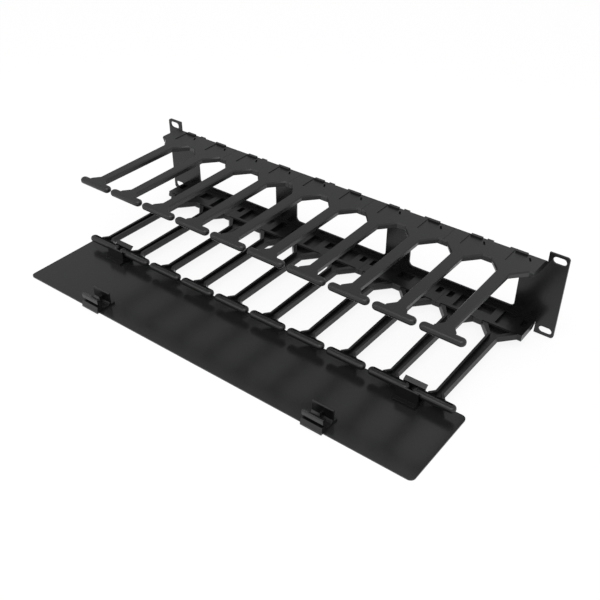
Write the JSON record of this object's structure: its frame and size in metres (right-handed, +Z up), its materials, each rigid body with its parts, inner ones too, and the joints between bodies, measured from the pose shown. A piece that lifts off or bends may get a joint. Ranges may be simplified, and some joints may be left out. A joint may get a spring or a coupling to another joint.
{
  "type": "horizontal cable manager",
  "caption": "Rack-mounted horizontal cable manager: a windowed steel back plate with an upper and a lower row of tee-tipped cable fingers and a hinged, removable front cover.",
  "frame": {"origin": "centre of the four rack slots, on the front face of the mounting ears", "axes": "+X right along the rack, +Y towards the rear of the rack, +Z up"},
  "size_m": [0.4826, 0.2306, 0.0904],
  "materials": {
    "back_plate": "black powder coat, fine texture",
    "finger_module": "moulded black plastic, fine spark texture",
    "cover_panel": "smooth semi-gloss black paint",
    "cover_clip": "moulded black plastic",
    "rivet": "black anodised"
  },
  "bodies": {
    "frame": {"back_plate": "back_plate", "top_finger_module_1": "finger_module", "top_finger_module_2": "finger_module", "top_finger_module_3": "finger_module", "top_finger_module_4": "finger_module", "top_finger_module_5": "finger_module", "bottom_finger_module_1": "finger_module", "bottom_finger_module_2": "finger_module", "bottom_finger_module_3": "finger_module", "bottom_finger_module_4": "finger_module", "bottom_finger_module_5": "finger_module"},
    "cover": {"cover_panel": "cover_panel", "hinge_clip_left": "cover_clip", "hinge_clip_right": "cover_clip", "latch_clip_left": "cover_clip", "latch_clip_right": "cover_clip", "hinge_clip_left_rivet": "rivet", "hinge_clip_right_rivet": "rivet", "latch_clip_left_rivet": "rivet", "latch_clip_right_rivet": "rivet"}
  },
  "joints": [
    {"name": "cover_hinge", "type": "hinge", "parent": "frame", "child": "cover", "pos_m": [0, -0.147, -0.035], "axis": [1, 0, 0], "range_deg": [-90, 25]}
  ]
}
